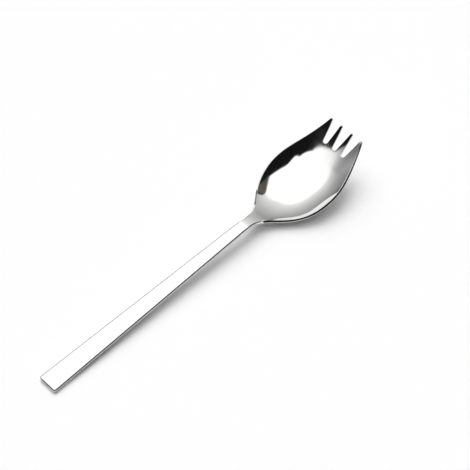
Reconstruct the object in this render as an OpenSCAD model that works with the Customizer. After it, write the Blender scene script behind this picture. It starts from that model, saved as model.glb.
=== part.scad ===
// Spork: a spoon with four tines, pressed from one piece of polished stainless steel.
// A flat bar handle tapers to a neck, flares into a bowl and runs out into the tines.
// It lies as on a table, on the end of its handle and on the bowl's underside:
// x runs from the handle's end to the tine tips, z is up and the table is z = 0.
// Distances called "along the sheet" follow its bends, from the handle's end.

/* [Handle] */
// Length of the handle along the sheet, from its end to the neck
handle_len = 127.5; // [100:0.5:150]
// Width of the handle at its end
handle_end_w = 10.9; // [8:0.1:14]
// Width of the handle at the neck
neck_w = 5.8; // [5:0.1:7.5]
// Thickness of the handle
handle_t = 2; // [1.6:0.1:2.8]
// Radius of the two corners at the handle's end
handle_corner_r = 1.3; // [0.6:0.1:3]
// Bevel that eases the long edges and the handle's end
edge_ease = 0.3; // [0.1:0.05:0.4]

/* [Bowl] */
// Width across the rim at its widest place, on the middle of the sheet's thickness
bowl_w = 38.7; // [32:0.1:44]
// Distance along the sheet from the neck to the widest place
bowl_reach = 41; // [36:0.5:48]
// Lift of the rim above the middle of the bowl
bowl_lift = 6.1; // [4:0.1:8]
// Distance along the sheet from the neck to where the rim starts to lift
lift_start = 4.5; // [3:0.5:12]
// Distance along the sheet from the neck to the highest lift
lift_reach = 38.5; // [30:0.5:46]
// Power of the curve from the middle of the bowl to its rim
section_power = 2.4; // [2:0.1:3]
// Thickness of the sheet in the bowl
bowl_t = 1.6; // [1.2:0.1:2]
// How far before the neck the bend down into the bowl starts, along the sheet
bend_lead = 5.5; // [2:0.5:9]
// Radius of the bend down into the bowl
neck_bend_r = 34; // [26:1:42]
// Steepest slope down into the bowl, in degrees
dip_angle = 22.6; // [18:0.2:27]
// Radius of the bowl's floor, seen from the side
floor_r = 47.5; // [43:0.5:54]
// Length of the curve that starts the flare at the neck
flare_pull = 16; // [12:0.5:20]
// Length of the curve that ends the flare at the widest place
shoulder_pull = 25.5; // [18:0.5:28]

/* [Tines] */
// Slope of the sheet where the bowl's floor ends, in degrees
tine_angle = 33; // [26:0.5:38]
// Radius of the gentler curve that runs from there to the tine tips, seen from the side
tine_curve_r = 100; // [80:5:200]
// Length of that curve
tine_run = 19; // [15:0.5:23]
// Width over the tips of the two outer tines
tip_span = 21.2; // [18:0.1:24]
// Narrowing of each side at the tips, for each millimetre along the sheet
tip_taper = 0.33; // [0.2:0.01:0.45]
// Length of the curve from the widest place towards the tines
front_pull = 10; // [6:0.5:14]
// Lift of the outer tips above the middle of the sheet
tip_lift = 0.6; // [0.2:0.1:1.2]
// Thickness of the sheet at the tips
tip_t = 1.2; // [0.9:0.1:1.6]
// Width of a tine at its rounded tip
tip_w = 1.8; // [1.2:0.1:2.2]
// Distance between the tips of the two inner tines
inner_tip_pitch = 7; // [6:0.1:8]
// Length of the slots between the tines
slot_len = 12.1; // [8:0.1:14]
// Width of a slot at its round root
slot_root_w = 2.4; // [1.6:0.1:3]
// Distance from the middle of the spork to the root of an outer slot
slot_root_pitch = 6.1; // [5.4:0.1:6.8]

/* [Hidden] */
$fn = 48;
// Steps of the loft: at a handle corner, before the neck, along the flare and the front, and across the sheet
corner_steps = 4;
bend_steps = 4;
flare_steps = 30;
front_steps = 24;
cross_steps = 22;
// Straight stretch of the outline's curve at the tips, as a share of the front's length
tip_pull_share = 0.55;
// Extra length of the blank, which is trimmed off at the tips
trim = 0.6;

// Slope of the handle that lets its end and the bowl's floor touch the table together
bend_s = handle_len - bend_lead;
rise_a = bend_s - edge_ease;
rise_b = handle_t / 2 - neck_bend_r;
rise_c = bowl_t / 2 + floor_r * (1 - cos(dip_angle)) - neck_bend_r * cos(dip_angle);
rise_angle = asin(rise_c / norm([rise_a, rise_b])) - atan2(rise_b, rise_a);

// Places along the sheet: the neck, the start of the bowl's floor and of the tines' curve, and the tips
neck_s = handle_len;
dip_s = bend_s + arc_length(neck_bend_r, rise_angle + dip_angle);
tines_s = dip_s + arc_length(floor_r, dip_angle + tine_angle);
tip_s = tines_s + tine_run;
wide_s = neck_s + bowl_reach;

// The ends of the straight and of the arcs in the side view, on the middle of the sheet's thickness
end_p = [0, handle_t / 2 * cos(rise_angle) - edge_ease * sin(rise_angle)];
bend_p = end_p + bend_s * heading(rise_angle);
dip_p = arc_end(bend_p, rise_angle, -dip_angle, -neck_bend_r);
tines_p = arc_end(dip_p, -dip_angle, tine_angle, floor_r);
tip_p = spine_at(tip_s);

// Slope of the slots' cutting plane: that of the sheet halfway along them
cut_angle = slope_at(tip_s - slot_len / 2);

// The origin is under the middle of the length, so the part is moved back by this much
middle_x = (tip_p.x + tip_t / 2 * sin(cut_angle) - (handle_t / 2 - edge_ease) * sin(rise_angle)) / 2;
tip_r = tip_w / 2;
cut_depth = 12;

function arc_length(r, angle) = r * angle * PI / 180;
function heading(angle) = [cos(angle), sin(angle)];
function arc_end(from, angle_a, angle_b, r) =
    from + r * [sin(angle_b) - sin(angle_a), cos(angle_a) - cos(angle_b)];
function smooth_step(t) = let (c = min(max(t, 0), 1)) c * c * (3 - 2 * c);
function blend(a, b, t) = a + (b - a) * smooth_step(t);
function bezier(p, t) =
    pow(1 - t, 3) * p[0] + 3 * pow(1 - t, 2) * t * p[1] + 3 * (1 - t) * t * t * p[2] + pow(t, 3) * p[3];

// Slope of the sheet's middle line at a distance along the sheet
function slope_at(s) =
    s <= bend_s ? rise_angle
    : s <= dip_s ? rise_angle - (s - bend_s) / arc_length(neck_bend_r, 1)
    : s <= tines_s ? (s - dip_s) / arc_length(floor_r, 1) - dip_angle
    : (s - tines_s) / arc_length(tine_curve_r, 1) + tine_angle;

// Place of the sheet's middle line in the side view
function spine_at(s) =
    s <= bend_s ? end_p + s * heading(rise_angle)
    : s <= dip_s ? arc_end(bend_p, rise_angle, slope_at(s), -neck_bend_r)
    : s <= tines_s ? arc_end(dip_p, -dip_angle, slope_at(s), floor_r)
    : arc_end(tines_p, tine_angle, slope_at(s), tine_curve_r);

// Thickness of the sheet: bevelled at its end, drawn thinner in the bowl and again to the tips
function thickness_at(s) =
    s < edge_ease ? handle_t - 2 * (edge_ease - s)
    : s <= dip_s ? blend(handle_t, bowl_t, (s - bend_s) / (dip_s - bend_s))
    : blend(bowl_t, tip_t, (s - tines_s) / (tip_s - tines_s));

// Lift of the rim above the middle line, square to the sheet
function lift_at(s) =
    let (low_s = neck_s + lift_start, high_s = neck_s + lift_reach)
    s <= high_s ? blend(0, bowl_lift, (s - low_s) / (high_s - low_s))
    : blend(bowl_lift, tip_lift, (s - high_s) / (tip_s - high_s));

// Half of the plan outline, as places along the sheet with the half width there
end_half = handle_end_w / 2;
neck_half = neck_w / 2;
wide_half = bowl_w / 2;
tip_half = tip_span / 2;
handle_taper = (neck_half - end_half) / neck_s;
tip_pull = tip_pull_share * (tip_s - wide_s);
flare_curve = [
    [neck_s, neck_half],
    [neck_s + flare_pull, neck_half + handle_taper * flare_pull],
    [wide_s - shoulder_pull, wide_half],
    [wide_s, wide_half]
];
front_curve = [
    [wide_s, wide_half],
    [wide_s + front_pull, wide_half],
    [tip_s - tip_pull, tip_half + tip_taper * tip_pull],
    [tip_s, tip_half]
];
// The corner's arc has stations up to the end of the bevel and from there to the straight side
bevel_turn = acos(1 - edge_ease / handle_corner_r);
corner_turns = concat(
    [0, bevel_turn / 2],
    [for (i = [0 : corner_steps]) bevel_turn + (90 - bevel_turn) * i / corner_steps]
);
corner = [
    for (a = corner_turns)
        let (s = handle_corner_r * (1 - cos(a)))
        [s, end_half + handle_taper * s - handle_corner_r * (1 - sin(a))]
];
// The bend starts on the straight sides, so it has stations of its own up to the neck
bend = [
    for (i = [0 : bend_steps - 1])
        let (s = bend_s + bend_lead * i / bend_steps)
        [s, end_half + handle_taper * s]
];
flare = [for (i = [0 : flare_steps]) bezier(flare_curve, i / flare_steps)];
front = [for (i = [1 : front_steps]) bezier(front_curve, i / front_steps)];
outline = concat(corner, bend, flare, front, [[tip_s + trim, tip_half - tip_taper * trim]]);

// Point of the section across the sheet, at a share u of the half width and a height off its middle
function section_point(half_w, lift, u, off) =
    let (
        height = lift * pow(abs(u), section_power),
        steepness = section_power * lift / half_w * pow(abs(u), section_power - 1) * sign(u),
        normal = [-steepness, 1] / norm([steepness, 1])
    )
    [half_w * u, height] + off * normal;

// Closed section with eased edges: over the top from one rim to the other and back underneath
function section(half_w, lift, t, ease) =
    let (flat_u = 1 - ease / half_w, face = t / 2, side = t / 2 - ease)
    concat(
        [for (i = [0 : cross_steps]) section_point(half_w, lift, flat_u * (1 - 2 * i / cross_steps), face)],
        [section_point(half_w, lift, -1, side), section_point(half_w, lift, -1, -side)],
        [for (i = [0 : cross_steps]) section_point(half_w, lift, flat_u * (2 * i / cross_steps - 1), -face)],
        [section_point(half_w, lift, 1, -side), section_point(half_w, lift, 1, side)]
    );

// The section of one station, stood square to the sheet's middle line
function ring(station) =
    let (s = station[0], place = spine_at(s), angle = slope_at(s))
    [
        for (q = section(station[1], lift_at(s), thickness_at(s), edge_ease))
            [place.x - q.y * sin(angle), q.x, place.y + q.y * cos(angle)]
    ];

// Faces that close a ring: a strip from one rim to the other, between its top and its underside
function end_faces(first, size) =
    [
        for (j = [-1 : cross_steps])
            let (a = (j + size) % size, b = j + 1, c = size - 4 - j, d = size - 3 - j)
            each [[first + a, first + b, first + c], [first + a, first + c, first + d]]
    ];
function turned(faces) = [for (f = faces) [f[2], f[1], f[0]]];

// The pressed blank: one closed loft through all the sections
module pressed_blank() {
    rings = [for (station = outline) ring(station)];
    size = len(rings[0]);
    last = len(rings) - 1;
    walls = [
        for (i = [0 : last - 1], j = [0 : size - 1])
            let (k = (j + 1) % size, a = i * size, b = a + size)
            each [[a + j, b + j, b + k], [a + j, b + k, a + k]]
    ];
    ends = concat(end_faces(0, size), turned(end_faces(last * size, size)));
    polyhedron([for (r = rings) each r], concat(walls, ends), convexity = 6);
}

// Point where a line from a place outside a circle touches it, on the side given by +1 or -1
function touch_point(centre, r, from, side) =
    let (d = from - centre, a = atan2(d.y, d.x) + side * acos(r / norm(d)))
    centre + r * [cos(a), sin(a)];

// One slot in its cutting plane, x = 0 at the tips: a round root that opens towards the tips
module slot(root_y, mouth_low, mouth_high) {
    r = slot_root_w / 2;
    centre = [r - slot_len, root_y];
    low = [-tip_r, mouth_low];
    high = [-tip_r, mouth_high];
    polygon([touch_point(centre, r, low, -1), low, high, touch_point(centre, r, high, 1), centre]);
    translate(centre)
        circle(r);
}

// Everything that is cut away between the tines and around their rounded tips
module gap_outline() {
    inner_y = inner_tip_pitch / 2;
    outer_y = tip_half + tip_taper * tip_r - tip_r;
    slot(0, tip_r - inner_y, inner_y - tip_r);
    slot(slot_root_pitch, inner_y + tip_r, outer_y - tip_r);
    slot(-slot_root_pitch, tip_r - outer_y, -inner_y - tip_r);
    difference() {
        translate([-tip_r, -tip_span])
            square([tip_r + cut_depth, 2 * tip_span]);
        for (y = [-outer_y, -inner_y, inner_y, outer_y])
            translate([-tip_r, y])
                circle(tip_r);
    }
}

module spork() {
    color("silver")
        translate([-middle_x, 0, 0])
            difference() {
                pressed_blank();
                translate([tip_p.x, 0, tip_p.y])
                    rotate([0, -cut_angle, 0])
                        linear_extrude(cut_depth, center = true)
                            gap_outline();
            }
}

spork();
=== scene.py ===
import logging
import math
from dataclasses import dataclass, field
from enum import Enum

import bpy
import numpy as np
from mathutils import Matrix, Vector


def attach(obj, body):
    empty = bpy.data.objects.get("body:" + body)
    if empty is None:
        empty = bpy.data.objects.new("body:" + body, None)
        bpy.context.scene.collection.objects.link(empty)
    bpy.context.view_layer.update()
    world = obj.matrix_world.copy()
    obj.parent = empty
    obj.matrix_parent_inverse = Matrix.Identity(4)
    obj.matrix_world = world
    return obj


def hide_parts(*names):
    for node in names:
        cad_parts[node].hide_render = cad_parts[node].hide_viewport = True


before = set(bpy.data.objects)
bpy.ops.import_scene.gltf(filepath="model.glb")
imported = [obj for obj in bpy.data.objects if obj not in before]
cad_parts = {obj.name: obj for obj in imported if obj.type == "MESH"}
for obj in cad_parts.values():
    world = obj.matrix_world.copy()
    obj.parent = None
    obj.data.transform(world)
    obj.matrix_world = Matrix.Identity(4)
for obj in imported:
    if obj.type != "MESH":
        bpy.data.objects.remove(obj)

LOG = logging.getLogger("spork")
MM = 0.001
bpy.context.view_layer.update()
# Size and thickness of the flat grid, before its points take their places on the spork.
GRID = 2.0
BLANK_T = 1.0

Color = tuple[float, float, float]
Shade = tuple[float, float, float, float]
Point = tuple[float, float]
Span = tuple[float, float]
Socket = bpy.types.NodeSocket
Value = Socket | float | Shade


class Face(Enum):
    """The two faces of the sheet, as the sign of their offset from its middle."""

    UNDERSIDE = -1.0
    TOP = 1.0


class Ray(Enum):
    """The kinds of ray that the world tells apart."""

    CAMERA = "Is Camera Ray"
    GLOSSY = "Is Glossy Ray"
    TRANSMISSION = "Is Transmission Ray"


def smooth_step(t: np.ndarray) -> np.ndarray:
    """Returns the soft step from 0 to 1 of each value."""
    c = np.clip(t, 0.0, 1.0)
    return c * c * (3.0 - 2.0 * c)


def grey(level: float) -> Shade:
    """Returns a solid grey of one level."""
    return (level, level, level, 1.0)


def bezier(points: list[Point], count: int) -> np.ndarray:
    """Samples a cubic curve.

    Args:
        points: The four control points.
        count: How many samples are taken, both ends included.

    Returns:
        The samples, one row each.
    """
    p = np.array(points)
    t = np.linspace(0.0, 1.0, count)[:, None]
    u = 1 - t
    return u**3 * p[0] + 3 * u**2 * t * p[1] + 3 * u * t**2 * p[2] + t**3 * p[3]


def touch_point(centre: Point, radius: float, outside: Point, side: float) -> np.ndarray:
    """Finds where a line from a place outside a circle touches it.

    Args:
        centre: The circle's centre.
        radius: The circle's radius.
        outside: The place that the line starts from.
        side: +1 or -1, for the two lines.

    Returns:
        The point on the circle.
    """
    d = np.array(outside) - np.array(centre)
    a = math.atan2(d[1], d[0]) + side * math.acos(radius / math.hypot(d[0], d[1]))
    return np.array(centre) + radius * np.array([math.cos(a), math.sin(a)])


@dataclass(frozen=True)
class PolishedSteel:
    """Finish of bare stainless steel, polished bright and wiped often."""

    name: str = "polished_steel"
    tint: Color = (0.8, 0.798, 0.794)
    tint_worn: Color = (0.76, 0.758, 0.755)
    roughness_low: float = 0.045
    roughness_high: float = 0.11
    wipe_scale: float = 1600.0
    wipe_detail: float = 3.0
    wipe_stretch: float = 0.035
    smudge_scale: float = 55.0
    smudge_detail: float = 4.0
    marks_span: Span = (0.15, 0.4)
    bump_distance: float = 0.000004
    bump_strength: float = 0.25

    def material(self) -> bpy.types.Material:
        """Builds the finish as shader nodes on Object coordinates.

        Returns:
            The new material.
        """
        mat = bpy.data.materials.new(self.name)
        mat.use_nodes = True
        nodes, links = mat.node_tree.nodes, mat.node_tree.links
        shader = nodes["Principled BSDF"]
        shader.inputs["Metallic"].default_value = 1.0
        place = nodes.new("ShaderNodeTexCoord")
        along = nodes.new("ShaderNodeMapping")
        along.inputs["Scale"].default_value = (self.wipe_stretch, 1.0, 1.0)
        links.new(place.outputs["Object"], along.inputs["Vector"])
        wipes = nodes.new("ShaderNodeTexNoise")
        wipes.inputs["Scale"].default_value = self.wipe_scale
        wipes.inputs["Detail"].default_value = self.wipe_detail
        links.new(along.outputs["Vector"], wipes.inputs["Vector"])
        smudges = nodes.new("ShaderNodeTexNoise")
        smudges.inputs["Scale"].default_value = self.smudge_scale
        smudges.inputs["Detail"].default_value = self.smudge_detail
        links.new(place.outputs["Object"], smudges.inputs["Vector"])
        both = nodes.new("ShaderNodeMath")
        both.operation = "MULTIPLY"
        links.new(wipes.outputs["Fac"], both.inputs[0])
        links.new(smudges.outputs["Fac"], both.inputs[1])
        rough = nodes.new("ShaderNodeMapRange")
        rough.inputs["From Min"].default_value = self.marks_span[0]
        rough.inputs["From Max"].default_value = self.marks_span[1]
        rough.inputs["To Min"].default_value = self.roughness_low
        rough.inputs["To Max"].default_value = self.roughness_high
        links.new(both.outputs["Value"], rough.inputs["Value"])
        links.new(rough.outputs["Result"], shader.inputs["Roughness"])
        tone = nodes.new("ShaderNodeMix")
        tone.data_type = "RGBA"
        tone.inputs["A"].default_value = (*self.tint, 1.0)
        tone.inputs["B"].default_value = (*self.tint_worn, 1.0)
        links.new(smudges.outputs["Fac"], tone.inputs["Factor"])
        links.new(tone.outputs["Result"], shader.inputs["Base Color"])
        bump = nodes.new("ShaderNodeBump")
        bump.inputs["Strength"].default_value = self.bump_strength
        bump.inputs["Distance"].default_value = self.bump_distance
        links.new(wipes.outputs["Fac"], bump.inputs["Height"])
        links.new(bump.outputs["Normal"], shader.inputs["Normal"])
        return mat


@dataclass
class Spork:
    """The spork: one pressed sheet with a handle, a bowl and four tines. Sizes are millimetres."""

    finish: PolishedSteel = field(default_factory=PolishedSteel)
    # Plan, side view and sheet, as in the solid.
    handle_len: float = 127.5
    handle_end_w: float = 10.9
    neck_w: float = 5.8
    handle_t: float = 2.0
    handle_corner_r: float = 1.3
    seat_ease: float = 0.3
    bowl_w: float = 38.7
    bowl_reach: float = 41.0
    bowl_lift: float = 6.1
    lift_start: float = 4.5
    lift_reach: float = 38.5
    section_power: float = 2.4
    bowl_t: float = 1.6
    bend_lead: float = 5.5
    neck_bend_r: float = 34.0
    dip_angle: float = math.radians(22.6)
    floor_r: float = 47.5
    flare_pull: float = 16.0
    shoulder_pull: float = 25.5
    tine_angle: float = math.radians(33.0)
    tine_curve_r: float = 100.0
    tine_run: float = 19.0
    tip_span: float = 21.2
    tip_taper: float = 0.33
    front_pull: float = 10.0
    tip_pull_share: float = 0.55
    tip_lift: float = 0.6
    tip_t: float = 1.2
    tip_w: float = 1.8
    inner_tip_pitch: float = 7.0
    slot_len: float = 12.1
    slot_root_w: float = 2.4
    slot_root_pitch: float = 6.1
    # Rounding, bevel and lean of the edges.
    handle_edge_r: float = 0.15
    rim_edge_r: float = 0.3
    under_edge_share: float = 0.4
    rim_inset: float = 0.16
    shoulder_inset: float = 0.34
    shoulder_start: float = 2.0
    shoulder_rise: float = 8.0
    shoulder_reach: float = 28.0
    shoulder_fall: float = 16.0
    bevel_w: float = 0.48
    bevel_slack: float = 0.03
    bevel_angle: float = math.radians(29.5)
    bevel_fade: float = 14.0
    # Rows and columns of the mesh.
    edge_rows: tuple[float, ...] = (0.0, 0.0125, 0.07, 0.15, 0.36, 0.6, 0.66, 1.0)
    tine_cells: int = 18
    slot_cells: int = 10
    tine_rows: int = 22
    tip_bulge_power: int = 6
    corner_run: float = 1.0
    corner_rows: int = 4
    handle_step: float = 2.0
    bend_margin: float = 4.0
    bowl_step: float = 0.6
    root_step: float = 0.5
    root_run: float = 5.0
    # Samples of the outlines, and the short steps that slopes are taken over.
    corner_points: int = 60
    curve_points: int = 600
    arc_points: int = 80
    way_points: int = 4000
    width_probe: float = 0.05
    most_stretch: float = 3.0
    normal_probe: float = 0.02
    least_half_w: float = 0.5
    rim_batch: int = 400
    rim_touch: float = 0.02
    same_point: float = 1e-7
    least_gap: float = 1e-9

    def __post_init__(self) -> None:
        """Works out the places along the sheet and in the side view."""
        self.neck_s = self.handle_len
        self.bend_s = self.neck_s - self.bend_lead
        a = self.bend_s - self.seat_ease
        b = self.handle_t / 2 - self.neck_bend_r
        c = self.bowl_t / 2 + self.floor_r * (1 - math.cos(self.dip_angle))
        c -= self.neck_bend_r * math.cos(self.dip_angle)
        self.rise = math.asin(c / math.hypot(a, b)) - math.atan2(b, a)
        self.dip_s = self.bend_s + self.neck_bend_r * (self.rise + self.dip_angle)
        self.tines_s = self.dip_s + self.floor_r * (self.dip_angle + self.tine_angle)
        self.tip_s = self.tines_s + self.tine_run
        self.wide_s = self.neck_s + self.bowl_reach
        self.tip_r = self.tip_w / 2
        self.root_r = self.slot_root_w / 2
        self.mouth_s = self.tip_s - self.tip_r
        self.root_s = self.tip_s - self.slot_len + self.root_r
        self.inner_y = self.inner_tip_pitch / 2
        self.outer_y = self.tip_span / 2 + self.tip_taper * self.tip_r - self.tip_r
        seat = self.handle_t / 2 * math.cos(self.rise) - self.seat_ease * math.sin(self.rise)
        self.end_p = np.array([0.0, seat])
        heading = np.array([math.cos(self.rise), math.sin(self.rise)])
        self.bend_p = self.end_p + self.bend_s * heading
        self.dip_p = self.bend_p + self._arc(self.rise, -self.dip_angle, -self.neck_bend_r)
        self.tines_p = self.dip_p + self._arc(-self.dip_angle, self.tine_angle, self.floor_r)
        tip_angle = self.tine_angle + self.tine_run / self.tine_curve_r
        cut_angle = tip_angle - self.slot_len / 2 / self.tine_curve_r
        tip_p = self.tines_p + self._arc(self.tine_angle, tip_angle, self.tine_curve_r)
        tip_x = tip_p[0] + self.tip_t / 2 * math.sin(cut_angle)
        end_x = (self.handle_t / 2 - self.seat_ease) * math.sin(self.rise)
        self.middle_x = (tip_x - end_x) / 2
        self.outline = self._outline()
        self.edge_shape, self.edge_steps = np.array(self.edge_rows), len(self.edge_rows) - 1

    @staticmethod
    def _arc(from_angle: float, to_angle: float, radius: float) -> np.ndarray:
        """Returns the step in the side view along an arc between two slopes."""
        x = math.sin(to_angle) - math.sin(from_angle)
        return radius * np.array([x, math.cos(from_angle) - math.cos(to_angle)])

    def _outline(self) -> np.ndarray:
        """Samples half of the plan outline.

        Returns:
            Rows of distance along the sheet and half width.
        """
        end, neck = self.handle_end_w / 2, self.neck_w / 2
        wide, tip = self.bowl_w / 2, self.tip_span / 2
        taper = (neck - end) / self.neck_s
        turn = np.linspace(0.0, math.pi / 2, self.corner_points)
        s = self.handle_corner_r * (1 - np.cos(turn))
        corner = np.stack([s, end + taper * s - self.handle_corner_r * (1 - np.sin(turn))], 1)
        flare = bezier(
            [
                (self.neck_s, neck),
                (self.neck_s + self.flare_pull, neck + taper * self.flare_pull),
                (self.wide_s - self.shoulder_pull, wide),
                (self.wide_s, wide),
            ],
            self.curve_points,
        )
        pull = self.tip_pull_share * (self.tip_s - self.wide_s)
        front = bezier(
            [
                (self.wide_s, wide),
                (self.wide_s + self.front_pull, wide),
                (self.tip_s - pull, tip + self.tip_taper * pull),
                (self.tip_s, tip),
            ],
            self.curve_points,
        )
        return np.concatenate([corner, flare, front[1:]])

    def half_width(self, s: np.ndarray) -> np.ndarray:
        """Returns half the plan width at each distance along the sheet."""
        return np.interp(s, self.outline[:, 0], self.outline[:, 1])

    def edge_stretch(self, s: np.ndarray) -> np.ndarray:
        """Compares a step straight across with one square to the outline.

        Args:
            s: Distances along the sheet.

        Returns:
            How many times longer the step across is at each.
        """
        h = self.width_probe
        slope = (self.half_width(s + h) - self.half_width(s - h)) / (2 * h)
        return np.minimum(np.sqrt(1 + slope**2), self.most_stretch)

    def slope(self, s: np.ndarray) -> np.ndarray:
        """Finds the slope of the sheet's middle line.

        Args:
            s: Distances along the sheet.

        Returns:
            The slope at each, in radians.
        """
        bend = self.rise - (s - self.bend_s) / self.neck_bend_r
        floor = (s - self.dip_s) / self.floor_r - self.dip_angle
        tines = (s - self.tines_s) / self.tine_curve_r + self.tine_angle
        places = [s <= self.bend_s, s <= self.dip_s, s <= self.tines_s]
        return np.select(places, [np.full_like(s, self.rise), bend, floor], tines)

    def spine(self, s: np.ndarray) -> tuple[np.ndarray, np.ndarray]:
        """Places the sheet's middle line in the side view.

        Args:
            s: Distances along the sheet.

        Returns:
            The places along X and Z.
        """
        angle = self.slope(s)
        places = [s <= self.bend_s, s <= self.dip_s, s <= self.tines_s]
        out = []
        for axis, run, wave, r_sign in ((0, math.cos, np.sin, 1.0), (1, math.sin, np.cos, -1.0)):
            neck_r, floor_r = self.neck_bend_r * r_sign, self.floor_r * r_sign
            tine_r = self.tine_curve_r * r_sign
            handle = self.end_p[axis] + s * run(self.rise)
            bend = self.bend_p[axis] - neck_r * (wave(angle) - wave(self.rise))
            floor = self.dip_p[axis] + floor_r * (wave(angle) - wave(-self.dip_angle))
            tines = self.tines_p[axis] + tine_r * (wave(angle) - wave(self.tine_angle))
            out.append(np.select(places, [handle, bend, floor], tines))
        return out[0], out[1]

    def thickness(self, s: np.ndarray) -> np.ndarray:
        """Finds the thickness of the sheet, which thins at the neck and towards the tips.

        Args:
            s: Distances along the sheet.

        Returns:
            The thickness at each.
        """
        neck = smooth_step((s - self.bend_s) / (self.dip_s - self.bend_s))
        tip = smooth_step((s - self.tines_s) / self.tine_run)
        thin = self.handle_t + (self.bowl_t - self.handle_t) * neck
        return thin + (self.tip_t - self.bowl_t) * tip

    def edge_radius(self, s: np.ndarray | float) -> np.ndarray:
        """Returns the radius of the edges under the sheet at each distance along it."""
        return self.under_edge_share * self.thickness(s)

    def top_edge_radius(self, s: np.ndarray) -> np.ndarray:
        """Returns the radius of the edges on top of the sheet at each distance along it."""
        grow = smooth_step((s - self.neck_s) / self.bevel_fade)
        return self.handle_edge_r + (self.rim_edge_r - self.handle_edge_r) * grow

    def bevel(self, s: np.ndarray) -> np.ndarray:
        """Returns the slope of the bevel on the handle's upper edges at each distance."""
        return self.bevel_angle * (1 - smooth_step((s - self.neck_s) / self.bevel_fade))

    def rim_lean(self, s: np.ndarray) -> np.ndarray:
        """Finds how far the top of the bowl's rim is set in from its foot.

        Args:
            s: Distances along the sheet.

        Returns:
            The step inwards at each.
        """
        low, high = self.neck_s + self.shoulder_start, self.neck_s + self.shoulder_reach
        rise, fall = (s - low) / self.shoulder_rise, (high - s) / self.shoulder_fall
        shoulder = smooth_step(rise) * smooth_step(fall)
        rim = smooth_step((s - self.neck_s) / self.lift_reach)
        return self.rim_inset * rim + self.shoulder_inset * shoulder

    def lift(self, s: np.ndarray) -> np.ndarray:
        """Finds the lift of the rim above the middle line, square to the sheet.

        Args:
            s: Distances along the sheet.

        Returns:
            The lift at each.
        """
        low, high = self.neck_s + self.lift_start, self.neck_s + self.lift_reach
        up = self.bowl_lift * smooth_step((s - low) / (high - low))
        down = (self.tip_lift - self.bowl_lift) * smooth_step((s - high) / (self.tip_s - high))
        return np.where(s <= high, up, self.bowl_lift + down)

    def slot_touches(self) -> dict[str, np.ndarray]:
        """Finds where the straight sides of the slots meet their round roots, for y >= 0.

        Returns:
            The points of the plan, by the side of the slot.
        """
        middle, outer = (self.root_s, 0.0), (self.root_s, self.slot_root_pitch)
        ends = {
            "middle": (middle, self.inner_y - self.tip_r, 1),
            "outer_low": (outer, self.inner_y + self.tip_r, -1),
            "outer_high": (outer, self.outer_y - self.tip_r, 1),
        }
        return {
            name: touch_point(root, self.root_r, (self.mouth_s, y), side)
            for name, (root, y, side) in ends.items()
        }

    def _root_arc(self, y: float, low: np.ndarray, high: np.ndarray, count: int) -> np.ndarray:
        """Samples the round root of a slot.

        Args:
            y: Place of the slot's root across the sheet.
            low: First point of the arc.
            high: Last point of the arc.
            count: How many samples are taken, both ends included.

        Returns:
            The samples as rows of distance along and across the sheet.
        """
        a = math.atan2(low[1] - y, self.root_s - low[0])
        b = math.atan2(high[1] - y, self.root_s - high[0])
        turn = np.linspace(a, b, count)
        s = self.root_s - self.root_r * np.cos(turn)
        return np.stack([s, y + self.root_r * np.sin(turn)], 1)

    def _shares(self, width: float, radius: float) -> np.ndarray:
        """Places a tine's columns, with the edge rows close together.

        Args:
            width: Width of the tine there.
            radius: Radius of its edges.

        Returns:
            The places as shares of the width.
        """
        edge = radius * self.edge_shape / width
        inner = np.linspace(edge[-1], 1 - edge[-1], self.tine_cells - 2 * self.edge_steps + 1)
        return np.concatenate([edge[:-1], inner, 1 - edge[:-1][::-1]])

    def _tine(
        self, rows: np.ndarray, low: np.ndarray, high: np.ndarray, y: float, outer: bool
    ) -> np.ndarray:
        """Lays out the plan of one tine.

        Args:
            rows: Shares of the way from the slot's root to the tip.
            low: Where the tine's lower side starts at the root.
            high: Where its upper side starts at the root.
            y: Place of its tip across the sheet.
            outer: Whether its upper side is the spork's outline.

        Returns:
            An array of rows, columns and the two plan coordinates.
        """
        out = np.zeros((len(rows), self.tine_cells + 1, 2))
        low_end = np.array([self.mouth_s, y - self.tip_r])
        high_end = np.array([self.mouth_s, y + self.tip_r])
        for i, t in enumerate(rows):
            a, b = low + (low_end - low) * t, high + (high_end - high) * t
            if outer:
                b[1] = self.half_width(b[0])
            c = self._shares(math.hypot(*(b - a)), self.edge_radius(a[0]))
            turn = math.pi * (c - 0.5)
            bulge = np.stack([np.cos(turn), np.sin(turn) - (2 * c - 1)], 1) * self.tip_r
            out[i] = a + (b - a) * c[:, None] + bulge * t**self.tip_bulge_power
        return out

    def _tine_shares(self) -> np.ndarray:
        """Places the rows of the tines, with the edge rows at the tips close together.

        Returns:
            The places as shares of the way from the slot's root to the tip.
        """
        way = np.linspace(0.0, 1.0, self.way_points)
        to_tip = (1 - way) * (self.mouth_s - self.root_s)
        to_tip = to_tip + self.tip_r * (1 - way**self.tip_bulge_power)
        edge = self.edge_radius(self.tip_s) * self.edge_shape[::-1]
        last = np.interp(edge, to_tip[::-1], way[::-1])
        return np.concatenate([np.linspace(0.0, last[0], self.tine_rows + 1)[:-1], last])

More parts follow.
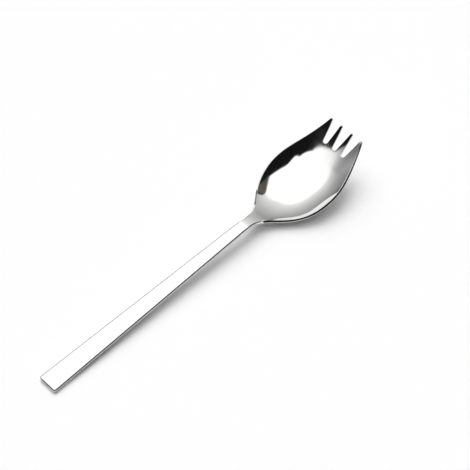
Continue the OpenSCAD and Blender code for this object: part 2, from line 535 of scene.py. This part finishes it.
    def plan(self) -> tuple[np.ndarray, int]:
        """Lays out the flat blank: every row along the sheet and every column across it.

        Returns:
            An array of rows, columns and the two plan coordinates, and the row of the slots' roots.
        """
        touch, half_slot = self.slot_touches(), self.slot_cells // 2
        side = np.array([touch["outer_high"][0], self.half_width(touch["outer_high"][0])])
        rows = self._tine_shares()
        inner = self._tine(rows, touch["middle"], touch["outer_low"], self.inner_y, False)
        outer = self._tine(rows, touch["outer_high"], side, self.outer_y, True)
        count = self.slot_cells + 1
        mirror = touch["middle"] * [1, -1]
        middle_arc = self._root_arc(0.0, mirror, touch["middle"], count)[half_slot:]
        outer_arc = self._root_arc(
            self.slot_root_pitch, touch["outer_low"], touch["outer_high"], count
        )
        lines = []
        for low, high in zip(inner, outer):
            lines.append(np.concatenate([middle_arc[:-1], low[:-1], outer_arc[:-1], high]))
            if len(lines) > 1:
                lines[-1][half_slot] = low[0]
                lines[-1][half_slot + self.tine_cells] = low[-1]
        body = self._body(lines[0])
        half = np.concatenate([body, lines])
        full = np.concatenate([half[:, :0:-1] * [1, -1], half], axis=1)
        return full, len(body)

    def _body(self, root: np.ndarray) -> np.ndarray:
        """Lays out the rows from the handle's end to just behind the slots, for y >= 0.

        Args:
            root: The row that runs round the slots' roots.

        Returns:
            An array of rows, columns and the two plan coordinates.
        """
        count, edge = len(root), self.edge_steps
        base_s = self.root_s - self.root_r - self.root_run
        end = self.edge_radius(0.0) * self.edge_shape
        corner = end[-1] + np.linspace(0.0, self.corner_run, self.corner_rows + 1)[1:]
        bar_rows = round(self.bend_s / self.handle_step)
        bar = np.linspace(corner[-1], self.bend_s - self.bend_margin, bar_rows)[1:]
        bowl = np.linspace(bar[-1], base_s, round((base_s - bar[-1]) / self.bowl_step))[1:]
        stations = np.concatenate([end, corner, bar, bowl])
        back = (self.edge_radius(self.root_s) * self.edge_shape[1:] / self.root_run)[::-1]
        plain = np.linspace(1.0, back[0], round(self.root_run / self.root_step))[1:-1]
        near = 1 - np.concatenate([plain, back])
        even = np.linspace(0.0, 1.0, count - edge)
        packed = root[: count - edge, 1] / root[count - edge - 1, 1]
        out = []
        for s, w in [(v, 0.0) for v in stations] + [(base_s, v) for v in near]:
            flow = smooth_step(np.array((s - self.neck_s) / (base_s - self.neck_s)))
            row_s = s + (root[:, 0] - s) * w if w else np.full(count, s)
            share = even + (packed - even) * flow
            out.append(np.stack([row_s, self._across(row_s, share)], 1))
            if w:
                out[-1][:, 1] += w * (root[:, 1] - self._across(root[:, 0], share))
        return np.array(out)

    def _across(self, s: np.ndarray, share: np.ndarray) -> np.ndarray:
        """Places the columns of a row across the sheet.

        Args:
            s: Distance along the sheet of each column.
            share: Place of each inner column as a share of the width inside the edge rows.

        Returns:
            The place of each column across the sheet.
        """
        edge = self.edge_steps
        wide, rim = self.half_width(s), self.edge_radius(s) * self.edge_stretch(s)
        y = np.empty_like(s)
        y[:-edge] = share * (wide - rim)[:-edge]
        y[-edge:] = wide[-edge:] - self.edge_shape[:-1][::-1] * rim[-edge:]
        return y

    def rim_line(self) -> np.ndarray:
        """Draws the closed edge of the plan as a dense line.

        Returns:
            Its points, one row each, with the first one again at the end.
        """
        touch, count = self.slot_touches(), self.arc_points
        turn = np.linspace(math.pi / 2, -math.pi / 2, count)
        tip = self.tip_r * np.stack([np.cos(turn), np.sin(turn)], 1)
        side = self.outline[self.outline[:, 0] < self.mouth_s]
        outer_arc = self._root_arc(
            self.slot_root_pitch, touch["outer_low"], touch["outer_high"], count
        )
        middle_arc = self._root_arc(0.0, touch["middle"] * [1, -1], touch["middle"], count)
        upper = np.concatenate(
            [
                side,
                tip + [self.mouth_s, self.outer_y],
                outer_arc[::-1],
                tip + [self.mouth_s, self.inner_y],
                middle_arc[count // 2 :][::-1],
            ]
        )
        return np.concatenate([upper, upper[::-1] * [1, -1], upper[:1]])

    def rim_reach(self, points: np.ndarray) -> tuple[np.ndarray, np.ndarray]:
        """Measures how far each point of the plan lies from the edge, and which way the edge is.

        Args:
            points: Points of the plan, one row each.

        Returns:
            The distances, and the outward directions in the plan, one row each.
        """
        line = self.rim_line()
        moved = np.linalg.norm(np.diff(line, axis=0), axis=1) > self.same_point
        line = line[np.append(True, moved)]
        a, d = line[:-1], np.diff(line, axis=0)
        long = np.linalg.norm(d, axis=1)
        outward = np.stack([-d[:, 1], d[:, 0]], 1) / long[:, None]
        far, way = np.empty(len(points)), np.empty((len(points), 2))
        for i in range(0, len(points), self.rim_batch):
            batch = slice(i, i + self.rim_batch)
            p = points[batch, None, :] - a[None]
            t = np.clip((p * d[None]).sum(2) / long**2, 0.0, 1.0)
            gap = t[..., None] * d[None] - p
            gap_len = np.sqrt((gap**2).sum(2))
            best = gap_len.argmin(1)
            row = np.arange(len(best))
            near = gap_len[row, best]
            far[batch] = near
            inner = gap[row, best] / np.maximum(near, self.least_gap)[:, None]
            on_rim = near < self.rim_touch
            way[batch] = np.where(on_rim[:, None], outward[best], inner)
        return far, way

    def _place(self, s: np.ndarray, y: np.ndarray, off: np.ndarray) -> np.ndarray:
        """Presses points of the flat sheet into shape.

        Args:
            s: Distance of each point along the sheet.
            y: Its place across the sheet.
            off: Its height off the middle of the sheet.

        Returns:
            The points in the frame of the CAD, in millimetres.
        """
        wide, lift = np.maximum(self.half_width(s), self.least_half_w), self.lift(s)
        u = np.abs(y) / wide
        steep = self.section_power * lift / wide * u ** (self.section_power - 1) * np.sign(y)
        norm = np.sqrt(1 + steep**2)
        up = lift * u**self.section_power + off / norm
        x, z = self.spine(s)
        angle = self.slope(s)
        along = x - up * np.sin(angle) - self.middle_x
        return np.stack([along, y - off * steep / norm, z + up * np.cos(angle)], 1)

    def _square(
        self, s: np.ndarray, y: np.ndarray, face: np.ndarray, way: np.ndarray
    ) -> tuple[np.ndarray, np.ndarray]:
        """Finds the directions square to a face of the pressed sheet and out to its edge.

        Args:
            s: Distance of each point along the sheet.
            y: Its place across the sheet.
            face: The side of the sheet that it is on, as +1 or -1.
            way: The direction to the edge in the plan.

        Returns:
            The two directions at each point, one row each.
        """
        h, half = self.normal_probe, face / 2
        ahead = self._place(s + h, y, half * self.thickness(s + h))
        along = ahead - self._place(s - h, y, half * self.thickness(s - h))
        off = half * self.thickness(s)
        across = self._place(s, y + h, off) - self._place(s, y - h, off)
        up = np.cross(along, across)
        out = way[:, :1] * along + way[:, 1:] * across
        up *= (face / np.linalg.norm(up, axis=1))[:, None]
        out /= np.linalg.norm(out, axis=1)[:, None]
        return up, out

    def press(self, plan: np.ndarray, face: np.ndarray) -> tuple[np.ndarray, np.ndarray]:
        """Presses the faces of the blank into shape and rounds their edges.

        Args:
            plan: Points of the plan, one row each.
            face: The side of the sheet that each point is on, as +1 or -1.

        Returns:
            The points in the frame of the CAD, in metres, and the normals there.
        """
        far, way = self.rim_reach(plan)
        s, under = plan[:, 0], self.edge_radius(plan[:, 0])
        top = self.top_edge_radius(s)
        radius = np.where(face > 0, top, under)
        lean = 1 - np.clip(far / radius, 0.0, 1.0)
        inset = np.where(face > 0, self.rim_lean(s) * lean, 0.0)
        s, y = (plan - inset[:, None] * way).T
        on_bevel = (face > 0) & (far < self.bevel_w + self.bevel_slack)
        bevel = np.where(on_bevel, self.bevel(s), 0.0)
        drop = radius * (1 - np.sqrt(1 - lean**2))
        drop = drop + np.maximum(self.bevel_w - far, 0.0) * np.tan(bevel)
        place = self._place(s, y, face * (self.thickness(s) / 2 - drop))
        wall = np.arctan2(self.rim_lean(s), self.thickness(s) - under - top)
        turn = np.maximum(np.arcsin(lean) * (1 - face * wall / (math.pi / 2)), bevel)
        up, out = self._square(s, y, face, way)
        return place * MM, np.cos(turn)[:, None] * up + np.sin(turn)[:, None] * out

    def build(self) -> bpy.types.Object:
        """Stamps the blank out of a flat grid, thickens it and presses it into shape.

        Returns:
            The finished piece, at the origin with its place in its mesh.
        """
        plan, root_row = self.plan()
        rows, cols = plan.shape[0] - 1, plan.shape[1] - 1
        bpy.ops.object.select_all(action="DESELECT")
        bpy.ops.mesh.primitive_grid_add(x_subdivisions=rows, y_subdivisions=cols, size=GRID)
        blank = bpy.context.object
        blank.name = blank.data.name = "pressed_spork"
        self._stamp_slots(blank, rows, cols, root_row)
        thick = blank.modifiers.new("sheet", "SOLIDIFY")
        thick.thickness = BLANK_T
        thick.offset = 1.0
        bpy.ops.object.modifier_apply(modifier=thick.name)
        mesh = blank.data
        flat = np.zeros(len(mesh.vertices) * 3)
        mesh.vertices.foreach_get("co", flat)
        flat = flat.reshape(-1, 3)
        i = np.rint((flat[:, 0] + GRID / 2) / GRID * rows).astype(int)
        j = np.rint((flat[:, 1] + GRID / 2) / GRID * cols).astype(int)
        face = np.where(flat[:, 2] > BLANK_T / 2, Face.TOP.value, Face.UNDERSIDE.value)
        place, normal = self.press(plan[i, j], face)
        mesh.vertices.foreach_set("co", place.ravel())
        mesh.update()
        bpy.ops.object.mode_set(mode="EDIT")
        bpy.ops.mesh.select_all(action="SELECT")
        bpy.ops.mesh.normals_make_consistent(inside=False)
        bpy.ops.object.mode_set(mode="OBJECT")
        bpy.ops.object.shade_smooth()
        mesh.normals_split_custom_set_from_vertices(normal)
        return blank

    def _stamp_slots(self, blank: bpy.types.Object, rows: int, cols: int, root_row: int) -> None:
        """Cuts the three slots out of the flat grid.

        Args:
            blank: The grid.
            rows: Number of its cells along the sheet.
            cols: Number of its cells across.
            root_row: The row where the slots start.
        """
        first = self.slot_cells // 2 + self.tine_cells
        gaps = [(0, self.slot_cells // 2), (first, first + self.slot_cells)]
        bpy.ops.object.mode_set(mode="EDIT")
        bpy.ops.mesh.select_mode(type="FACE")
        bpy.ops.mesh.select_all(action="DESELECT")
        bpy.ops.object.mode_set(mode="OBJECT")
        for polygon in blank.data.polygons:
            row = (polygon.center.x + GRID / 2) / GRID * rows
            off = abs(polygon.center.y) / GRID * cols
            polygon.select = row > root_row and any(a < off < b for a, b in gaps)
        bpy.ops.object.mode_set(mode="EDIT")
        bpy.ops.mesh.delete(type="FACE")
        bpy.ops.object.mode_set(mode="OBJECT")

    def dress(self, piece: bpy.types.Object) -> None:
        """Gives the piece its finish and ties it to the CAD.

        Args:
            piece: The finished piece.
        """
        piece.data.materials.clear()
        piece.data.materials.append(self.finish.material())
        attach(piece, "root")
        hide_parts("spork")


class Wires:
    """Adds plain value nodes to a node tree and joins them."""

    def __init__(self, tree: bpy.types.NodeTree) -> None:
        """Keeps the tree that the nodes go into."""
        self.tree = tree

    def _join(self, socket: Socket, value: Value) -> None:
        """Links a value to an input, or writes it there.

        Args:
            socket: The input.
            value: A socket, a number or a colour.
        """
        if isinstance(value, Socket):
            self.tree.links.new(value, socket)
        else:
            socket.default_value = value

    def math(self, operation: str, *values: Value) -> Socket:
        """Adds a Math node.

        Args:
            operation: The node's operation.
            values: Its inputs, as sockets or numbers.

        Returns:
            Its output.
        """
        node = self.tree.nodes.new("ShaderNodeMath")
        node.operation = operation
        for socket, value in zip(node.inputs, values):
            self._join(socket, value)
        return node.outputs["Value"]

    def dot(self, source: Socket, axis: Vector) -> Socket:
        """Measures the share of a direction that lies along an axis.

        Args:
            source: The direction.
            axis: The axis, one unit long.

        Returns:
            The share.
        """
        node = self.tree.nodes.new("ShaderNodeVectorMath")
        node.operation = "DOT_PRODUCT"
        node.inputs[1].default_value = axis
        self.tree.links.new(source, node.inputs[0])
        return node.outputs["Value"]

    def step(self, value: Value, span: Span) -> Socket:
        """Adds a soft step.

        Args:
            value: What the step follows.
            span: Where the step starts and ends.

        Returns:
            0 before the span and 1 after it.
        """
        node = self.tree.nodes.new("ShaderNodeMapRange")
        node.interpolation_type = "SMOOTHSTEP"
        for socket, setting in zip(node.inputs, (value, *span)):
            self._join(socket, setting)
        return node.outputs["Result"]

    def within(self, x: Value, x_span: Span, y: Value, y_span: Span) -> Socket:
        """Returns a socket that is 1 where both values are past their spans."""
        return self.math("MULTIPLY", self.step(x, x_span), self.step(y, y_span))

    def past(self, value: Value, limit: Value) -> Socket:
        """Returns a socket with how far a value is above a limit, or 0 below it."""
        return self.math("MAXIMUM", self.math("SUBTRACT", value, limit), 0.0)

    def length(self, x: Value, y: Value) -> Socket:
        """Returns a socket with the length of a line that runs x one way and y the other."""
        squares = self.math("ADD", self.math("POWER", x, 2.0), self.math("POWER", y, 2.0))
        return self.math("SQRT", squares)

    def mix(self, share: Value, first: Value, second: Value) -> Socket:
        """Adds a mix of two colours.

        Args:
            share: How much of the second colour shows.
            first: The colour at 0, as a socket or four numbers.
            second: The colour at 1, as a socket or four numbers.

        Returns:
            The mixed colour.
        """
        node = self.tree.nodes.new("ShaderNodeMix")
        node.data_type = "RGBA"
        for name, value in (("Factor", share), ("A", first), ("B", second)):
            self._join(next(i for i in node.inputs if i.name == name and i.enabled), value)
        return next(o for o in node.outputs if o.enabled)

    def curve(self, value: Value, stops: tuple[Point, ...]) -> Socket:
        """Adds straight steps between stops.

        Args:
            value: What the stops are read at.
            stops: Pairs of a place from 0 to 1 and the value there.

        Returns:
            The value at that place, as a grey colour.
        """
        node = self.tree.nodes.new("ShaderNodeValToRGB")
        points = node.color_ramp.elements
        while len(points) < len(stops):
            points.new(0.5)
        for point, (at, level) in zip(points, stops):
            point.position = at
            point.color = grey(level)
        self.tree.links.new(value, node.inputs["Fac"])
        return node.outputs["Color"]


@dataclass
class Studio:
    """The white table, the soft light over it and the camera.

    Angles are degrees. Directions in the room are places on a round map of the sky as the camera's
    operator sees it: the zenith is 0, the horizon is 1 away from it, x is right and y is away. A
    span runs from where a soft edge on that map starts to where it ends.
    """

    turn: float = 43.7
    target: tuple[float, float, float] = (0.0247, 0.0032, -0.001)
    elevation: float = 53.9
    distance: float = 1.098
    lens: float = 174.2
    sensor: float = 36.0
    clip_end: float = 50.0
    floor_size: float = 12.0
    floor_color: Color = (0.97, 0.97, 0.97)
    floor_roughness: float = 0.9
    # The lamp.
    lamp_place: Point = (-0.06, 0.42)
    lamp_width: float = 50.0
    lamp_strength: float = 1.63
    # The light overhead, as levels at distances from its middle, with a dim left and a pale right.
    sky_middle: Point = (-0.05, 0.02)
    sky_levels: tuple[Point, ...] = (
        (0.0, 1.36),
        (0.45, 1.36),
        (0.475, 1.25),
        (0.51, 0.95),
        (0.55, 0.87),
        (0.6, 0.76),
        (0.68, 0.62),
        (0.8, 0.46),
        (0.86, 0.38),
        (0.92, 0.1),
        (1.0, 0.03),
    )
    zenith_gap: float = 0.0001
    left_shade: float = 0.38
    left_shade_x: Span = (-0.4, -0.65)
    left_dark: float = 0.55
    left_dark_x: Span = (-0.53, -0.63)
    left_dark_y: Span = (0.35, 0.05)
    right_fill: float = 1.0
    right_fill_x: Span = (0.58, 0.66)
    right_fill_y: Span = (0.05, 0.2)
    # The dark near side. A tooth of its edge has a start, a peak, an end and a height.
    near_light: float = 0.008
    near_low: float = -0.253
    near_flat: Span = (-0.19, 0.0)
    near_bend: tuple[float, float] = (1.6, 1.7)
    near_cap: float = -0.065
    near_cap_x: Span = (-0.4, 0.0)
    near_cap_rise: float = 2.0
    near_teeth: tuple[tuple[float, ...], ...] = (
        (0.02, 0.15, 0.3, 0.05),
        (-0.03, -0.05, -0.15, 0.022),
    )
    near_soft: float = 0.01
    # The brown card. Its upper end is a darker strip, set by distances from its top.
    card_color: Color = (0.15, 0.127, 0.11)
    card_left: float = 0.35
    card_lean: float = 0.08
    card_top: float = 0.37
    card_round: float = 0.1
    card_soft: float = 0.012
    card_low_share: float = 0.35
    card_low_y: Span = (0.4, -0.2)
    card_end_share: float = 0.5
    card_end_drop: Span = (0.06, 0.03)
    # The white background beside all that, as spans across and away.
    plain_left: Span = (-0.7, -0.77)
    plain_areas: tuple[tuple[Span, Span], ...] = (
        ((0.06, -0.04), (-0.46, -0.54)),
        ((0.6, 0.5), (-0.64, -0.72)),
        ((0.6, 0.68), (-0.28, -0.18)),
    )

    def axes(self) -> tuple[Vector, Vector]:
        """Finds the level directions in the room.

        Returns:
            The directions to the right and away.
        """
        turn = math.radians(self.turn)
        right = Vector((math.cos(turn), -math.sin(turn), 0.0))
        return right, Vector((math.sin(turn), math.cos(turn), 0.0))

    def camera(self) -> None:
        """Sets the camera at the photograph's viewing angle."""
        data = bpy.data.cameras.new("camera")
        data.lens, data.sensor_width = self.lens, self.sensor
        data.clip_end = self.clip_end
        cam = bpy.data.objects.new("camera", data)
        bpy.context.scene.collection.objects.link(cam)
        turn, lean = math.radians(-90.0 - self.turn), math.radians(self.elevation)
        level = math.cos(lean)
        back = Vector((level * math.cos(turn), level * math.sin(turn), math.sin(lean)))
        cam.location = Vector(self.target) + back * self.distance
        cam.rotation_mode = "QUATERNION"
        cam.rotation_quaternion = (-back).to_track_quat("-Z", "Y")
        bpy.context.scene.camera = cam

    def floor(self) -> None:
        """Lays the white table under the object."""
        bpy.ops.object.select_all(action="DESELECT")
        bpy.ops.mesh.primitive_plane_add(size=self.floor_size)
        table = bpy.context.object
        table.name = "table"
        mat = bpy.data.materials.new("white_table")
        mat.use_nodes = True
        shader = mat.node_tree.nodes["Principled BSDF"]
        shader.inputs["Base Color"].default_value = (*self.floor_color, 1.0)
        shader.inputs["Roughness"].default_value = self.floor_roughness
        shader.inputs["Specular IOR Level"].default_value = 0.0
        table.data.materials.append(mat)

    def lamp(self) -> None:
        """Hangs a wide soft lamp on the far side. It shows in the shadow, not in reflections."""
        data = bpy.data.lights.new("lamp", "SUN")
        data.energy, data.angle = self.lamp_strength, math.radians(self.lamp_width)
        lamp = bpy.data.objects.new("lamp", data)
        bpy.context.scene.collection.objects.link(lamp)
        right, away = self.axes()
        low = math.hypot(*self.lamp_place) * math.pi / 2
        level = (right * self.lamp_place[0] + away * self.lamp_place[1]).normalized()
        back = level * math.sin(low) + Vector((0.0, 0.0, math.cos(low)))
        lamp.rotation_mode = "QUATERNION"
        lamp.rotation_quaternion = back.to_track_quat("Z", "Y")
        lamp.visible_glossy = False

    def sky_place(self, wires: Wires) -> tuple[Socket, Socket]:
        """Turns the direction of a ray into its place on the map of the sky.

        Args:
            wires: The world's nodes.

        Returns:
            The places to the right and away.
        """
        way = wires.tree.nodes.new("ShaderNodeTexCoord").outputs["Generated"]
        right, away = (wires.dot(way, axis) for axis in self.axes())
        up = wires.dot(way, Vector((0.0, 0.0, 1.0)))
        low = wires.math("MULTIPLY", wires.math("ARCCOSINE", up), 2.0 / math.pi)
        flat = wires.math("MAXIMUM", wires.length(right, away), self.zenith_gap)
        scale = wires.math("DIVIDE", low, flat)
        return wires.math("MULTIPLY", right, scale), wires.math("MULTIPLY", away, scale)

    def _card(self, wires: Wires, x: Socket, y: Socket) -> Socket:
        """Draws the brown card: a sheet on the right with a round upper corner.

        Args:
            wires: The world's nodes.
            x: Place to the right on the map.
            y: Place away on the map.

        Returns:
            1 on the card and 0 off it.
        """
        side = wires.math("MULTIPLY_ADD", y, self.card_lean, x)
        over_x = wires.past(self.card_left + self.card_round, side)
        over_y = wires.past(y, self.card_top - self.card_round)
        edge = (self.card_round + self.card_soft, self.card_round - self.card_soft)
        return wires.step(wires.length(over_x, over_y), edge)

    def _brown(self, wires: Wires, y: Socket) -> Socket:
        """Colours the card, darker towards the table and along its upper end.

        Args:
            wires: The world's nodes.
            y: Place away on the map.

        Returns:
            The colour.
        """
        low = [c * self.card_low_share for c in self.card_color]
        end = [c * self.card_end_share for c in self.card_color]
        fade = wires.step(y, self.card_low_y)
        brown = wires.mix(fade, (*self.card_color, 1.0), (*low, 1.0))
        start, full = self.card_end_drop
        strip = wires.step(y, (self.card_top - start, self.card_top - full))
        return wires.mix(strip, brown, (*end, 1.0))

    def _near(self, wires: Wires, x: Socket, y: Socket) -> Socket:
        """Draws the dark near side: its edge bends up on both sides of a flat and has two teeth.

        Args:
            wires: The world's nodes.
            x: Place to the right on the map.
            y: Place away on the map.

        Returns:
            1 on the near side and 0 beyond its edge.
        """
        edge = self.near_low
        wings = (wires.past(self.near_flat[0], x), wires.past(x, self.near_flat[1]))
        for wing, bend in zip(wings, self.near_bend):
            edge = wires.math("MULTIPLY_ADD", wires.math("POWER", wing, 2.0), bend, edge)
        free = wires.step(x, self.near_cap_x)
        cap = wires.math("MULTIPLY_ADD", free, self.near_cap_rise, self.near_cap)
        edge = wires.math("MINIMUM", edge, cap)
        for start, full, end, height in self.near_teeth:
            tooth = wires.within(x, (start, full), x, (end, full))
            edge = wires.math("MULTIPLY_ADD", tooth, height, edge)
        return wires.step(wires.math("SUBTRACT", edge, y), (-self.near_soft, self.near_soft))

    def _plain(self, wires: Wires, x: Socket, y: Socket) -> Socket:
        """Draws where the steel mirrors the white background, beside the light and the cards.

        Args:
            wires: The world's nodes.
            x: Place to the right on the map.
            y: Place away on the map.

        Returns:
            1 on the background and 0 off it.
        """
        plain = wires.step(x, self.plain_left)
        for x_span, y_span in self.plain_areas:
            plain = wires.math("MAXIMUM", plain, wires.within(x, x_span, y, y_span))
        return plain

    def world(self) -> None:
        """Lights the room: a large soft light overhead, a dark near side and a brown card."""
        world = bpy.data.worlds.new("studio")
        bpy.context.scene.world = world
        world.use_nodes = True
        wires = Wires(world.node_tree)
        x, y = self.sky_place(wires)
        off_x = wires.math("SUBTRACT", x, self.sky_middle[0])
        off_y = wires.math("SUBTRACT", y, self.sky_middle[1])
        sky = wires.curve(wires.length(off_x, off_y), self.sky_levels)
        shade = wires.math("MULTIPLY", wires.step(x, self.left_shade_x), self.left_shade)
        sky = wires.mix(shade, sky, grey(0.0))
        dark = wires.within(x, self.left_dark_x, y, self.left_dark_y)
        sky = wires.mix(wires.math("MULTIPLY", dark, self.left_dark), sky, grey(0.0))
        sky = wires.mix(self._card(wires, x, y), sky, self._brown(wires, y))
        sky = wires.mix(self._near(wires, x, y), sky, grey(self.near_light))
        fill = wires.within(x, self.right_fill_x, y, self.right_fill_y)
        sky = wires.mix(fill, sky, grey(self.right_fill))
        path = world.node_tree.nodes.new("ShaderNodeLightPath").outputs
        mirrored = wires.math("MULTIPLY", path[Ray.GLOSSY.value], self._plain(wires, x, y))
        white = wires.math("MAXIMUM", path[Ray.CAMERA.value], path[Ray.TRANSMISSION.value])
        seen = wires.mix(wires.math("MAXIMUM", white, mirrored), sky, grey(1.0))
        world.node_tree.links.new(seen, world.node_tree.nodes["Background"].inputs["Color"])

    def build(self) -> None:
        """Sets up the whole stage."""
        self.camera()
        self.floor()
        self.lamp()
        self.world()
        bpy.context.scene.view_settings.view_transform = "Standard"


def main() -> None:
    """Builds the stage and the spork, and reports each piece."""
    logging.basicConfig(level=logging.INFO)
    Studio().build()
    spork = Spork()
    piece = spork.build()
    spork.dress(piece)
    LOG.info("%s: %d faces", piece.name, len(piece.data.polygons))


if __name__ == "__main__":
    main()
